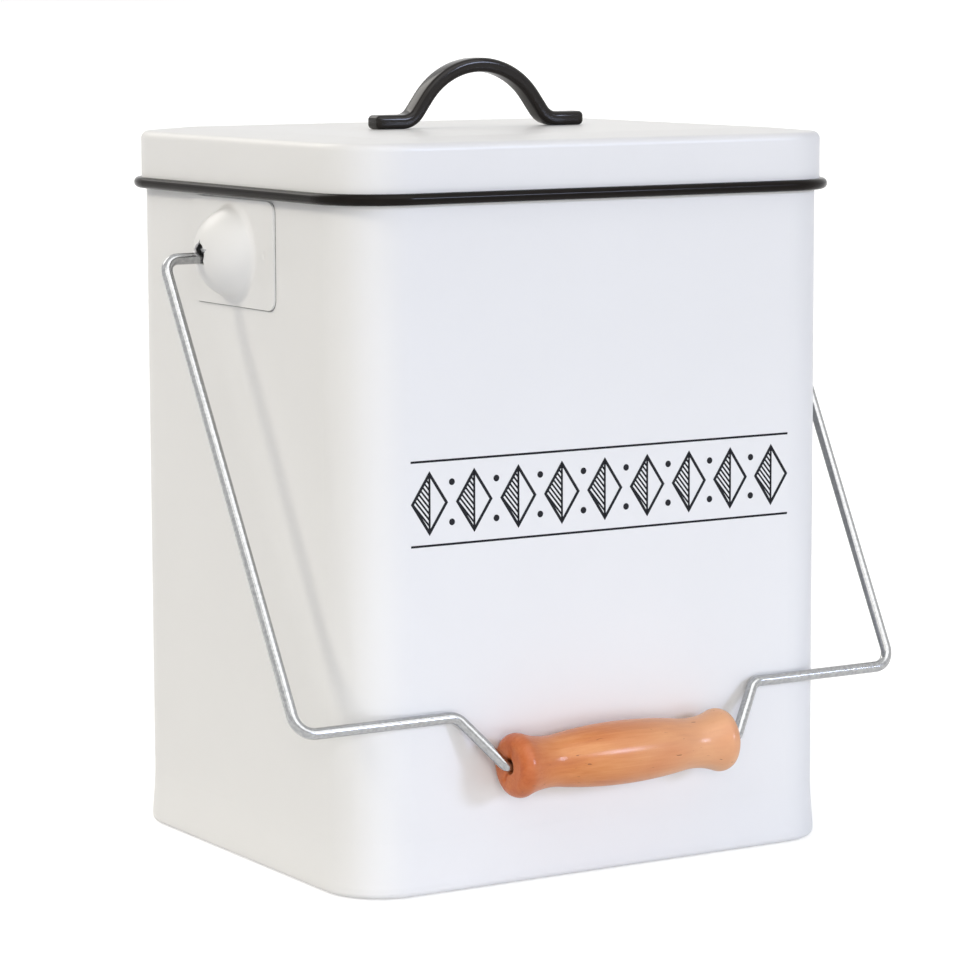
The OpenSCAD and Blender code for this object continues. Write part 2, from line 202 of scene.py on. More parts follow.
# %% [markdown]
# ## Lamps
#
# Suns with a wide angle are softboxes that are far away, so they light every side evenly. A
# cool key from the front right throws the grip's shadow to the left on the front. A warm
# lamp from the left throws the shadow of the bail's arm on the side. The fill stands beside
# the camera, and the rest keep the lid, the back and the foot from going dark. A softbox
# that would blow out a white face is left out of the mirror rays, and one that only has to
# draw the bright stripe along the wire is left out of the light.

# %% Lamp helper
def far_lamp(name, azimuth, elevation, spread, strength, colour=(1, 1, 1), lights=True,
             mirrored=True):
    """A sun as wide as a softbox. It may be kept out of the light or out of the gloss."""
    data = bpy.data.lights.new(name, "SUN")
    data.angle = math.radians(spread)
    data.energy = strength
    data.color = colour
    lamp = bpy.data.objects.new(name, data)
    bpy.context.scene.collection.objects.link(lamp)
    lamp.rotation_euler = direction(azimuth, elevation).to_track_quat("Z", "Y").to_euler()
    lamp.visible_diffuse, lamp.visible_glossy = lights, mirrored


# %% Place the lamps
# name, azimuth, elevation and spread in degrees, strength, colour
far_lamp("lamp_key", 30, 15, 12, 0.72, (0.80, 0.90, 1.22))
far_lamp("lamp_left", -96, 40, 14, 0.92, (1.07, 1.0, 0.86), mirrored=False)
far_lamp("lamp_fill", -25, 9, 36, 1.27, mirrored=False)
far_lamp("lamp_high", -58, 45, 30, 0.25, (1.03, 1.0, 0.94))
far_lamp("lamp_mirrored", 8, 50, 54, 1.05, lights=False)
far_lamp("lamp_above", -165, 40, 34, 0.60, (1.03, 1.0, 0.94))
far_lamp("lamp_back", 140, 30, 34, 0.50, mirrored=False)
print("far lamps:", len(bpy.data.lights))

# %% A low strip lamp before the foot
STRIP_SIZE = (0.5, 0.05)
STRIP_PLACE = (-0.02, -0.30, 0.03)
STRIP_POWER = 0.13

strip_data = bpy.data.lights.new("lamp_low", "AREA")
strip_data.shape = "RECTANGLE"
strip_data.size, strip_data.size_y = STRIP_SIZE
strip_data.energy = STRIP_POWER
strip_data.color = (0.88, 0.92, 1.0)
strip = bpy.data.objects.new("lamp_low", strip_data)
bpy.context.scene.collection.objects.link(strip)
strip.location = STRIP_PLACE
strip.rotation_euler = (math.radians(90), 0, 0)
strip.visible_camera = strip.visible_glossy = False
print("strip lamp at", STRIP_PLACE, "m, all lamps:", len(bpy.data.lights))

# %% [markdown]
# ## White powder coat
#
# Powder coat melts into a skin with a faint orange peel, and thin sheet is never quite flat,
# so reflections wander. Two bumps give that: a fine one a millimetre across and a broad one
# as wide as a hand. The colour stays close to one white, with a breath of unevenness. The
# helpers come first, because every finish is a noise or two that drives tone, shine and bump.

# %% Pattern helpers
def surface_coordinates(tree, stretch=(1, 1, 1)):
    """Object coordinates through a Mapping node."""
    place = put(tree, "TexCoord")
    mapping = put(tree, "Mapping", Scale=stretch)
    wire_up(tree, (place, "Object", mapping, "Vector"))
    return mapping


def noise(tree, scale, detail, stretch=(1, 1, 1), **sockets):
    """A noise on Object coordinates, which stretch draws out along the piece."""
    made = put(tree, "TexNoise", Scale=scale, Detail=detail, **sockets)
    wire_up(tree, (surface_coordinates(tree, stretch), 0, made, "Vector"))
    return made


def two_tones(tree, source, output, dark, light):
    """A colour that wanders between two tones."""
    tone = put(tree, "Mix", {"data_type": "RGBA"})
    tone.inputs["A"].default_value = (*dark, 1)
    tone.inputs["B"].default_value = (*light, 1)
    wire_up(tree, (source, output, tone, "Factor"))
    return tone


def wander_roughness(tree, shader, pattern, low, high):
    """A roughness that wanders between two values with a noise."""
    gloss = put(tree, "MapRange", To_Min=low, To_Max=high)
    wire_up(tree, (pattern, "Fac", gloss, "Value"), (gloss, 0, shader, "Roughness"))


def bump(tree, pattern, distance, strength, below=None):
    """A bump from a noise, on top of another bump."""
    made = put(tree, "Bump", Distance=distance, Strength=strength)
    wire_up(tree, (pattern, "Fac", made, "Height"))
    if below:
        wire_up(tree, (below, "Normal", made, "Normal"))
    return made


# %% White finish
def white_powder_coat():
    """White paint with an orange peel, on sheet that isn't quite flat."""
    finish, tree, shader = new_finish("white_powder_coat")
    broad = noise(tree, scale=9.0, detail=1.0)
    peel = noise(tree, scale=700.0, detail=1.0)
    shade = noise(tree, scale=22.0, detail=3.0)
    tone = two_tones(tree, shade, "Fac", dark=(0.80, 0.80, 0.80), light=(0.83, 0.83, 0.83))
    wander_roughness(tree, shader, peel, low=0.30, high=0.38)
    wavy = bump(tree, broad, distance=1.2 * MM, strength=0.30)
    skin = bump(tree, peel, distance=0.02 * MM, strength=0.35, below=wavy)
    wire_up(tree, (tone, "Result", shader, "Base Color"), (skin, "Normal", shader, "Normal"))
    return finish


white = white_powder_coat()
print("made", white.name)

# %% [markdown]
# ## Gloss black, bright metal and ink
#
# The bead and the strap are dipped in gloss black, whose skin is never quite level. The wire
# is galvanised steel: a metal with a fine spangle, which shows as slightly blotchy tone and
# shine. Printing ink lies flat and dull. Each finish reads Object coordinates, so it stays put
# on its piece when the piece moves.

# %% Helpers for black, metal and ink
def gloss_black(name, shine):
    """Black enamel. The shine is its specular level."""
    finish, tree, shader = new_finish(name)
    skin = noise(tree, scale=150.0, detail=2.0)
    tone = two_tones(tree, skin, "Fac", dark=(0.007, 0.005, 0.004), light=(0.013, 0.010, 0.008))
    shader.inputs["Specular IOR Level"].default_value = shine
    wander_roughness(tree, shader, skin, low=0.10, high=0.18)
    uneven = bump(tree, skin, distance=0.10 * MM, strength=0.35)
    wire_up(tree, (tone, "Result", shader, "Base Color"), (uneven, "Normal", shader, "Normal"))
    return finish


def bright_steel(name, dark, light, scale, roughness):
    """Zinc on steel, with a blotchy tone and shine. The roughness is a low and a high value."""
    finish, tree, shader = new_finish(name)
    shader.inputs["Metallic"].default_value = 1.0
    blotch = noise(tree, scale, detail=4.0)
    patchy = put(tree, "MapRange", From_Min=0.36, From_Max=0.64)
    tone = two_tones(tree, patchy, 0, dark, light)
    wander_roughness(tree, shader, blotch, *roughness)
    spangle = bump(tree, blotch, distance=0.03 * MM, strength=0.35)
    wire_up(tree, (blotch, "Fac", patchy, "Value"), (tone, "Result", shader, "Base Color"),
            (spangle, "Normal", shader, "Normal"))
    return finish


def dull_speckle(name, dark, light, scale, roughness):
    """A dull finish with a fine speckle, for ink and for the painted shade under the ears' edges.
    """
    finish, tree, shader = new_finish(name)
    tone = two_tones(tree, noise(tree, scale, detail=2.0), "Fac", dark, light)
    shader.inputs["Roughness"].default_value = roughness
    wire_up(tree, (tone, "Result", shader, "Base Color"))
    return finish, shader


# %% Black, metal and ink finishes
strap_black = gloss_black("strap_black", shine=0.25)
bead_black = gloss_black("bead_black", shine=0.08)
galvanised = bright_steel("galvanised_steel", dark=(0.35, 0.355, 0.36),
                          light=(0.43, 0.435, 0.44), scale=900.0, roughness=(0.12, 0.22))
zinc = bright_steel("zinc_plate", dark=(0.55, 0.56, 0.56), light=(0.74, 0.75, 0.76),
                    scale=700.0, roughness=(0.2, 0.32))
ink, ink_shader = dull_speckle("print_ink", dark=(0.008, 0.008, 0.010),
                               light=(0.018, 0.018, 0.022), scale=900.0, roughness=0.5)
ink_shader.inputs["Specular IOR Level"].default_value = 0.15
print("made", [m.name for m in (strap_black, bead_black, galvanised, zinc, ink)])

# %% [markdown]
# ## Varnished wood
#
# The grip is a pale hardwood, turned and dipped in a reddish varnish. Three browns follow the
# grain along X, and fine fibres fray them. The varnish is thick and red at the left end. Towards
# the right end the wood is painted paler, a painted highlight. A few dark pores and a pimpled,
# slightly wavy skin finish it. Colour is laid over colour, layer by layer, as on the bench.

# %% Grain of the wood
def grain_colour(tree, streak, fine):
    """Three browns along the grain, frayed by the fibres. Returns a node and its output."""
    fibres = put(tree, "MapRange", From_Min=0.3, From_Max=0.7, To_Min=-0.09, To_Max=0.09)
    blend = put(tree, "Math", {"operation": "ADD"})
    ramp = put(tree, "ValToRGB")
    stops = ramp.color_ramp.elements
    stops[0].position, stops[0].color = 0.30, (0.53, 0.165, 0.045, 1)
    stops[1].position, stops[1].color = 0.70, (0.68, 0.283, 0.098, 1)
    stops.new(0.48).color = (0.61, 0.215, 0.062, 1)
    wire_up(tree, (fine, "Fac", fibres, "Value"), (fibres, 0, blend, 0),
            (streak, "Fac", blend, 1), (blend, 0, ramp, "Fac"))
    return ramp, "Color"


def lay_over(tree, under, colour, factor, kind="MIX"):
    """Lays a colour over another one, as far as the factor says."""
    made = put(tree, "Mix", {"data_type": "RGBA", "blend_type": kind})
    made.inputs["B"].default_value = (*colour, 1)
    wire_up(tree, (*under, made, "A"), (factor, 0, made, "Factor"))
    return made, "Result"


# %% Layers of the varnish
def varnish_layers(tree, under, cloud, fleck, left_end, right_end):
    """A painted highlight paling the right end, red varnish at the left end and in patches, pores.
    """
    along = put(tree, "SeparateXYZ")
    # painted highlight: a factor that grows from 30 mm in from the left end up to the right end
    painted_highlight_fade = put(tree, "MapRange", From_Min=left_end + 30 * MM, From_Max=right_end,
               To_Max=0.7)
    thick = put(tree, "MapRange", From_Min=left_end + 15 * MM, From_Max=left_end + 3 * MM,
                To_Max=0.85)
    patch = put(tree, "MapRange", From_Min=0.50, From_Max=0.75, To_Max=0.5)
    varnish = put(tree, "Math", {"operation": "MAXIMUM"})
    dots = put(tree, "MapRange", From_Min=0.73, From_Max=0.78, To_Max=0.8)
    wire_up(tree, (surface_coordinates(tree), 0, along, 0), (along, "X", painted_highlight_fade, "Value"),
            (along, "X", thick, "Value"), (cloud, "Fac", patch, "Value"),
            (patch, 0, varnish, 0), (thick, 0, varnish, 1), (fleck, "Fac", dots, "Value"))
    # the painted highlight lays a paler colour over the right end of the grip
    painted_highlight_layer = lay_over(tree, under, (0.82, 0.475, 0.275), painted_highlight_fade)
    redder = lay_over(tree, painted_highlight_layer, (0.80, 0.50, 0.38), varnish, "MULTIPLY")
    return lay_over(tree, redder, (0.24, 0.075, 0.025), dots)


# %% Wood finish
def varnished_wood(left_end, right_end):
    """Turned wood between two ends along X."""
    finish, tree, shader = new_finish("varnished_wood")
    streak = noise(tree, scale=1.0, detail=4.0, stretch=(16, 130, 130), Roughness=0.55,
                   Distortion=0.5)
    fine = noise(tree, scale=1.0, detail=3.0, stretch=(45, 900, 900), Roughness=0.6)
    fleck = noise(tree, scale=1.0, detail=1.0, stretch=(230, 1300, 1300))
    cloud = noise(tree, scale=1.0, detail=2.0, stretch=(34, 48, 48))
    pimple = noise(tree, scale=1300.0, detail=1.0)
    colour = varnish_layers(tree, grain_colour(tree, streak, fine), cloud, fleck,
                            left_end, right_end)
    for socket, value in (("Roughness", 0.55), ("Specular IOR Level", 0.3),
                          ("Coat Weight", 0.45), ("Coat Roughness", 0.2)):
        shader.inputs[socket].default_value = value
    grain = bump(tree, streak, distance=0.45 * MM, strength=0.7)
    dimples = bump(tree, cloud, distance=1.2 * MM, strength=0.6, below=grain)
    pits = bump(tree, fine, distance=0.16 * MM, strength=0.5, below=dimples)
    skin = bump(tree, pimple, distance=0.10 * MM, strength=0.6, below=pits)
    wire_up(tree, (*colour, shader, "Base Color"), (skin, "Normal", shader, "Normal"))
    return finish


grip_low, grip_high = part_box("grip")
wood = varnished_wood(grip_low.x, grip_high.x)
print("made", wood.name)

# %% [markdown]
# ## Finishes for the CAD nodes
#
# A CAD node keeps its shape, and only its material slot is filled. Most of the caddy is white,
# so white is the rule and the list names the rest. The nodes that are modelled again below
# are dressed as well, in the finish of the piece that stands for them.


# %% Put the finishes on the CAD nodes
def dress(piece, finish):
    """One finish for a whole piece."""
    piece.data.materials.clear()
    piece.data.materials.append(finish)


node_finish = {"lid_rim": bead_black, "lid_handle": strap_black, "bail_wire": galvanised,
               "handle_screws": zinc, "grip": wood}
for name, node in frame["nodes"].items():
    dress(node, node_finish.get(name, white))
print("dressed", len(frame["nodes"]), "CAD nodes")

# %% [markdown]
# ## Helpers for modelling by hand
#
# An operator works on all that is selected, so each piece starts with nothing selected. The
# helpers open a new primitive, select vertices, edges or faces by a rule, push the open end of
# a shape along, and hand a finished piece over to its body.

# %% Helpers that open and select
SLIM = 0.001 * MM
NEAR = 0.02 * MM


def only(piece):
    """Leaves edit mode and selects one object alone."""
    if bpy.context.object and bpy.context.object.mode != "OBJECT":
        bpy.ops.object.mode_set(mode="OBJECT")
    bpy.ops.object.select_all(action="DESELECT")
    piece.select_set(True)
    bpy.context.view_layer.objects.active = piece


def start(name):
    """Names the primitive that was just added and opens it with all selected."""
    piece = bpy.context.object
    piece.name = name
    only(piece)
    bpy.ops.object.transform_apply(location=True, rotation=True, scale=True)
    bpy.ops.object.mode_set(mode="EDIT")
    bpy.ops.mesh.select_all(action="SELECT")
    return piece


def pick(piece, kind, rule):
    """In edit mode, selects only the verts, edges or faces for which the rule is true."""
    bpy.ops.mesh.select_mode(type={"verts": "VERT", "edges": "EDGE", "faces": "FACE"}[kind])
    bpy.ops.mesh.select_all(action="DESELECT")
    shape = bmesh.from_edit_mesh(piece.data)
    found = [part for part in getattr(shape, kind) if rule(part)]
    for part in found:
        part.select_set(True)
    bmesh.update_edit_mesh(piece.data)
    return len(found)


# %% Helpers that push and finish
def push(vector):
    """Extrudes what is selected along a straight stretch."""
    bpy.ops.mesh.extrude_region_move(TRANSFORM_OT_translate={"value": vector})


def finish_piece(piece, body, finish, replaces=(), smooth=35):
    """Closes a piece: object mode, clean normals, smooth shading, finish and body."""
    bpy.ops.mesh.select_all(action="SELECT")
    bpy.ops.mesh.remove_doubles(threshold=SLIM)
    bpy.ops.mesh.normals_make_consistent(inside=False)
    only(piece)
    bpy.ops.object.transform_apply(location=True, rotation=True, scale=True)
    bpy.ops.object.shade_smooth_by_angle(angle=math.radians(smooth))
    dress(piece, finish)
    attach(piece, body)
    if replaces:
        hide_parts(*replaces)
    print(piece.name, len(piece.data.vertices), "vertices on", body)


# %% [markdown]
# ## The wooden grip
#
# The real grip is turned on a lathe: a belly, two necks and two bulged ends, three arcs that
# run into each other. So it is made the same way here. One vertex is extruded along the
# outline, from the bore over the end to the far bore, and the outline is spun round the wire.
# The spin leaves a seam of double vertices, which are merged before anything else is done.

# %% Values of the grip, in millimetres
# R is a radius from the wire's line, and IN is a distance from the end
BELLY_R = 10.0
END_R = 10.1
NECK_R = 8.05
NECK_IN = 14.5
BULGE_IN = 3.6
BULGE_CURVE = 4.2
BORE_R = 2.25
MOUTH = 0.8
MOUTH_DEPTH = 4 * MOUTH
END_EASE = 1.1
END_RINGS = 7
BELLY_STEPS = 44
TURN_STEPS = 112
grip_half = (grip_high.x - grip_low.x) / 2 / MM
grip_place = Vector(((grip_low.x + grip_high.x) / 2, grip_centre.y, grip_centre.z))
print("grip: half length", round(grip_half, 2), "mm")


# %% Outline of the grip
def turned_radius(x):
    """Radius of the grip at a distance from its middle, in millimetres."""
    bulge_x, bulge_c = grip_half - BULGE_IN, END_R - BULGE_CURVE
    neck_x = grip_half - NECK_IN
    dx, dr = bulge_x - neck_x, NECK_R - bulge_c
    neck_curve = (dx * dx + dr * dr - BULGE_CURVE ** 2) / (2 * (END_R - NECK_R))
    drop = BELLY_R - NECK_R
    belly_curve = (neck_x ** 2 + drop ** 2) / (2 * drop) - neck_curve
    if x < neck_x * belly_curve / (neck_curve + belly_curve):
        return BELLY_R - belly_curve + math.sqrt(belly_curve ** 2 - x * x)
    if x < bulge_x - dx * BULGE_CURVE / (neck_curve + BULGE_CURVE):
        return NECK_R + neck_curve - math.sqrt(neck_curve ** 2 - (x - neck_x) ** 2)
    return bulge_c + math.sqrt(BULGE_CURVE ** 2 - (x - bulge_x) ** 2)


def half_outline():
    """(distance along, radius) from inside the bore, round the end, to the belly's middle."""
    face_r = turned_radius(grip_half)
    points = [(grip_half - MOUTH_DEPTH, BORE_R), (grip_half - MOUTH, BORE_R),
              (grip_half - MOUTH / 3, BORE_R + MOUTH / 2)]
    flat_r = face_r - END_EASE
    first_r = BORE_R + MOUTH
    points += [(grip_half, first_r + (flat_r - first_r) * k / END_RINGS)
               for k in range(END_RINGS + 1)]
    start_x = grip_half - END_EASE
    start_r = turned_radius(start_x)
    # a short curve eases the edge
    for k in (0.25, 0.5, 0.75):
        points.append((grip_half - k * k * END_EASE,
                       (1 - k) ** 2 * flat_r + 2 * k * (1 - k) * face_r + k * k * start_r))
    for step in range(BELLY_STEPS + 1):
        x = start_x * math.cos(math.pi / 2 * step / BELLY_STEPS)
        points.append((x, turned_radius(x)))
    return points


# %% Turn the grip
def draw_outline(name, points):
    """A chain of vertices through the points, drawn by extruding one vertex."""
    bpy.ops.object.select_all(action="DESELECT")
    bpy.ops.mesh.primitive_plane_add(size=MM)
    piece = start(name)
    bpy.ops.mesh.select_mode(type="VERT")
    bpy.ops.mesh.merge(type="CENTER")
    bpy.ops.transform.translate(value=points[0])
    for a, b in zip(points, points[1:]):
        bpy.ops.mesh.extrude_vertices_move(TRANSFORM_OT_translate={"value": b - a})
    bpy.ops.mesh.select_all(action="SELECT")
    return piece


half = half_outline()
outline = [Vector((x, 0, r)) * MM for x, r in half]
outline += [Vector((-x, 0, r)) * MM for x, r in reversed(half[:-1])]
turned_grip = draw_outline("turned_grip", outline)
bpy.ops.mesh.spin(steps=TURN_STEPS, angle=2 * math.pi, center=(0, 0, 0), axis=(1, 0, 0))
bpy.ops.mesh.select_all(action="SELECT")
bpy.ops.mesh.remove_doubles(threshold=SLIM)
bpy.ops.transform.translate(value=grip_place)
print("grip: turned from", len(outline), "points")

# %% [markdown]
# Soft wood chips where the drill breaks out. A split runs down from the left mouth of the
# bore, so a few vertices of the end face are pushed in there. Proportional editing carries
# their neighbours along, as a thumb does in clay.

# %% Chip the left mouth
SPLIT_ANGLE = math.radians(-118)
SPLIT_HALF_WIDTH = 0.12
SPLIT_FROM, SPLIT_TO = 2.9 * MM, 5.6 * MM
SPLIT_DEPTH = 0.9 * MM
END_FACE = 0.05 * MM


def on_split(vert):
    """True for end-face vertices along the split that runs out from the left mouth."""
    across = vert.co - grip_place
    radius = math.hypot(across.y, across.z)
    turn = math.atan2(across.z, -across.y)
    return (vert.co.x < grip_low.x + END_FACE and SPLIT_FROM < radius < SPLIT_TO
            and abs(turn - SPLIT_ANGLE) < SPLIT_HALF_WIDTH)


print("split vertices:", pick(turned_grip, "verts", on_split))
bpy.ops.transform.translate(value=(SPLIT_DEPTH, 0, 0), use_proportional_edit=True,
                            proportional_edit_falloff="SHARP", proportional_size=SPLIT_DEPTH)
finish_piece(turned_grip, "grip", wood, replaces=["grip"], smooth=50)

# %% [markdown]
# ## The wire bail
#
# The bail is one wire, bent eight times in one plane. The same is done here: a circle is
# extruded along each straight stretch and spun round the middle of each bend. The route is
# the list of corners that the bends round off: out of the ear, down the arm, in along the
# crossbar, and down to the grip's line. It is mirrored for the other half. Spin turns against
# the right-hand rule, so the axis is given the other way round.

# %% Route of the wire
WIRE_R = 1.8 * MM
ARM_X, LOW_X, DROP_X, MOUTH_X = (v * MM for v in (115.0, 111.6, 56.0, 43.2))
BAIL_DIP = 17.8 * MM
HEAD_X = 100.7 * MM
HEAD_R = 3.7 * MM
BENDS = [v * MM for v in (5.0, 6.5, 5.0, 3.2)]
STEP_DEGREES = 6
down = Vector((0, hang.y, hang.z)).normalized()
bar_drop = hang.length - BAIL_DIP


def bail_point(x, drop):
    """A point of the bail's plane: across the caddy, and down from the pivots."""
    return pivot + Vector((x, 0, 0)) + down * drop


half_route = [(HEAD_X, 0), (ARM_X, 0), (LOW_X, bar_drop), (DROP_X, bar_drop),
              (MOUTH_X, hang.length)]
route = [bail_point(-x, drop) for x, drop in half_route]
route += [bail_point(x, drop) for x, drop in reversed(half_route)]
radii = BENDS + BENDS[::-1]
print("wire length about", round(sum((b - a).length for a, b in zip(route, route[1:])), 3), "m")

# %% Bend the wire
bpy.ops.object.select_all(action="DESELECT")
bpy.ops.mesh.primitive_circle_add(vertices=28, radius=WIRE_R, location=route[0],
                                  rotation=(0, math.radians(90), 0))
bent_bail = start("bent_bail")
here = route[0]
for before, corner, after, radius in zip(route, route[1:], route[2:], radii):
    go_in, go_out = (corner - before).normalized(), (after - corner).normalized()
    turn = go_in.angle(go_out)
    entry = corner - go_in * radius * math.tan(turn / 2)
    axis = go_in.cross(go_out).normalized()
    middle = entry + axis.cross(go_in) * radius
    push(entry - here)
    bpy.ops.mesh.spin(steps=max(6, round(math.degrees(turn) / STEP_DEGREES)), angle=turn,
                      center=middle, axis=-axis)
    here = corner + go_out * radius * math.tan(turn / 2)
push(route[-1] - here)
print("bail ends at", [round(v, 4) for v in route[-1]])

# %% Upset the two ends
HEAD_SWELL = HEAD_R / WIRE_R
HEAD_CHAMFER = 0.94
# how far inwards, and how much wider, each step of the head goes
HEAD_STEPS = ((0.0, HEAD_SWELL * HEAD_CHAMFER), (0.3 * MM, 1 / HEAD_CHAMFER), (0.8 * MM, 1.0),
              (0.3 * MM, 0.9))

for side in (-1, 1):
    end_x = side * HEAD_X
    pick(bent_bail, "edges", lambda e: e.is_boundary and all(
        abs(v.co.x - end_x) < NEAR for v in e.verts))
    for inwards, size in HEAD_STEPS:
        push((-side * inwards, 0, 0))
        bpy.ops.transform.resize(value=(1, size, size), center_override=pivot)
    bpy.ops.mesh.edge_face_add()
finish_piece(bent_bail, "bail", galvanised, replaces=["bail_wire"], smooth=40)

# %% [markdown]
# ## The strap handle
#
# A flat bar is bent into an arch with two feet and dipped in gloss black, which rounds all its
# edges. The section starts as a rectangle with bevelled corners. It is extruded and spun
# along the bar from foot to foot, and then the two foot ends are bevelled.

# %% Strap values
STRAP_T = 4.6 * MM
STRAP_EDGE = 1.6 * MM
STRAP_SLOPE = math.radians(54)
ARCH_R = 25 * MM
FOOT_BEND_R = 6.9 * MM
strap_low, strap_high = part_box("lid_handle")
strap_w = strap_high.y - strap_low.y
strap_lift = strap_high.z - strap_low.z - STRAP_T
both_r = ARCH_R + FOOT_BEND_R
leg = (strap_lift - both_r * (1 - math.cos(STRAP_SLOPE))) / math.sin(STRAP_SLOPE)
bend_x = both_r * math.sin(STRAP_SLOPE) + leg * math.cos(STRAP_SLOPE)
print("straight leg", round(leg / MM, 2), "mm, bend starts at", round(bend_x / MM, 2))

# %% Section of the strap
bpy.ops.object.select_all(action="DESELECT")
bpy.ops.mesh.primitive_plane_add(size=1, rotation=(0, math.radians(90), 0))
strap = start("bent_strap")
bpy.ops.transform.resize(value=(1, strap_w, STRAP_T))
bpy.ops.mesh.bevel(offset=STRAP_EDGE, segments=6, affect="VERTICES")
bpy.ops.mesh.select_all(action="SELECT")
foot_mid_z = strap_low.z + STRAP_T / 2
bpy.ops.transform.translate(value=(strap_low.x, 0, foot_mid_z))
print("section", round(strap_w / MM, 2), "by", round(STRAP_T / MM, 2), "mm")


# %% Bend the strap
def bend_bar(centre, angle, steps):
    """Bends the open end of the bar round a centre, in the XZ plane."""
    axis = (0, 1, 0) if angle > 0 else (0, -1, 0)
    bpy.ops.mesh.spin(steps=steps, angle=abs(angle), center=centre, axis=axis)


slope_way = Vector((math.cos(STRAP_SLOPE), 0, math.sin(STRAP_SLOPE)))
push((-bend_x - strap_low.x, 0, 0))
bend_bar((-bend_x, 0, foot_mid_z + FOOT_BEND_R), STRAP_SLOPE, steps=12)
push(slope_way * leg)
bend_bar((0, 0, strap_high.z - STRAP_T / 2 - ARCH_R), -2 * STRAP_SLOPE, steps=40)
push(Vector((slope_way.x, 0, -slope_way.z)) * leg)
bend_bar((bend_x, 0, foot_mid_z + FOOT_BEND_R), STRAP_SLOPE, steps=12)
push((strap_high.x - bend_x, 0, 0))
only(strap)
reach = max(v.co.x for v in strap.data.vertices)
print("strap reaches", round(reach / MM, 2), "mm, foot at", round(strap_high.x / MM, 2))

# %% Round the foot ends
FOOT_EASE = 1.9 * MM

bpy.ops.object.mode_set(mode="EDIT")
ends = pick(strap, "edges", lambda e: all(
    abs(abs(v.co.x) - strap_high.x) < NEAR for v in e.verts))
bpy.ops.mesh.bevel(offset=FOOT_EASE, segments=6, affect="EDGES", clamp_overlap=True)
print("end edges bevelled:", ends)
finish_piece(strap, "lid", strap_black, replaces=["lid_handle"], smooth=40)

# %% [markdown]
# ## The dark line round the ears
# The pressed ears come from the CAD model. They are spot-welded on before the caddy is
# painted, and the gap under their edges lies in shade. That shade is painted here as a fine
# dark line. It is a rounded rectangle, inset to a thin frame that peeps out from under the
# plate. The top of the frame is cut off.

# %% Painted shade under the ears' edges
LINE_W = 0.34 * MM
LINE_T = 0.06 * MM
LINE_TOP = 0.4 * MM
EAR_CORNER = 3.8 * MM
# The frame's dark grey is painted shade: the shadow in the gap under each ear's edge.
paint_gap, _ = dull_speckle("paint_gap", dark=(0.10, 0.10, 0.10), light=(0.42, 0.42, 0.41),
                            scale=600.0, roughness=0.8)


def line_frame(name, side, low, high):
    """A thin rounded frame, wider than the plate all round by the width of the line."""
    bpy.ops.object.select_all(action="DESELECT")
    bpy.ops.mesh.primitive_plane_add(size=1, rotation=(0, side * math.radians(90), 0))
    frame_line = start(name)
    grow = 2 * LINE_W
    bpy.ops.transform.resize(value=(1, high.y - low.y + grow, high.z - low.z + grow))
    bpy.ops.mesh.bevel(offset=EAR_CORNER + LINE_W, segments=10, affect="VERTICES")
    bpy.ops.mesh.select_all(action="SELECT")
    bpy.ops.mesh.inset(thickness=3 * LINE_W)
    bpy.ops.mesh.delete(type="FACE")
    bpy.ops.mesh.select_all(action="SELECT")
    return frame_line


for side_name, side in (("left", -1), ("right", 1)):
    ear_low, ear_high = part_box("ear_" + side_name)
    line = line_frame("gap_line_" + side_name, side, ear_low, ear_high)
    middle = (ear_low + ear_high) / 2
    bpy.ops.transform.translate(value=(side * side_x, middle.y, middle.z))
    bpy.ops.mesh.bisect(plane_co=(0, 0, ear_high.z - LINE_TOP), plane_no=(0, 0, 1),
                        clear_outer=True)
    bpy.ops.mesh.select_all(action="SELECT")
    push((side * LINE_T, 0, 0))
    finish_piece(line, "caddy", paint_gap)

# %% [markdown]
# ## Paint in the corner above the base seam
#
# The base is folded round the body's lower edge, which leaves a step as thick as the sheet.
# Powder coat runs into such a corner and rounds it out, so on the real caddy the body just
# flares out at the foot. A long, thin fillet of paint does the same here. It is gentle, because
# a steeper one would mirror the key lamp as a bright band. Its section is drawn once and
# carried round the body: pushed along each side, spun round each corner.

# %% Section of the fillet
# (how far out from the body, how high) in millimetres, down its face and back up behind it
FILLET = [(-0.03, 18), (0.00, 17), (0.04, 16), (0.09, 15), (0.15, 14), (0.22, 13), (0.29, 12),
          (0.36, 11), (0.44, 10), (0.52, 9), (0.60, 8), (0.68, 7), (0.76, 6), (0.84, 5),
          (0.92, 4.2), (0.98, 3.6), (1.01, 3.2), (1.01, 2.6), (0.70, 2.6), (0.30, 4.9), (0.00, 6.2)]
BODY_CORNER = 19 * MM
straight_x = side_x - BODY_CORNER
straight_y = -front_y - BODY_CORNER
section = [Vector((0, front_y - out * MM, z * MM)) for out, z in FILLET]
fillet = draw_outline("paint_fillet", section + section[:1])
bpy.ops.mesh.remove_doubles(threshold=SLIM)
bpy.ops.mesh.select_all(action="SELECT")
print("section of the fillet:", len(FILLET), "points")

# %% Carry it round the body
stretches = [(straight_x, (1, 0)), (2 * straight_y, (0, 1)), (2 * straight_x, (-1, 0)),
             (2 * straight_y, (0, -1))]
corners = [(1, -1), (1, 1), (-1, 1), (-1, -1)]
for (run, way), (at_x, at_y) in zip(stretches, corners):
    push((run * way[0], run * way[1], 0))
    bpy.ops.mesh.spin(steps=18, angle=math.radians(90), axis=(0, 0, -1),
                      center=(at_x * straight_x, at_y * straight_y, 0))
push((straight_x, 0, 0))
finish_piece(fillet, "caddy", white, smooth=40)

# %% [markdown]
# ## The printed ornament
#
# The front carries a band printed in black ink. Ink is thinner than a hair, but it has an edge
# of its own, so the band is made of real, very thin shapes that lie just proud of the steel.
# One lozenge is modelled, an outline with a hatched left half like an old woodcut, and it is
# copied along the band with two dots between each two. Two thin rules close the band.

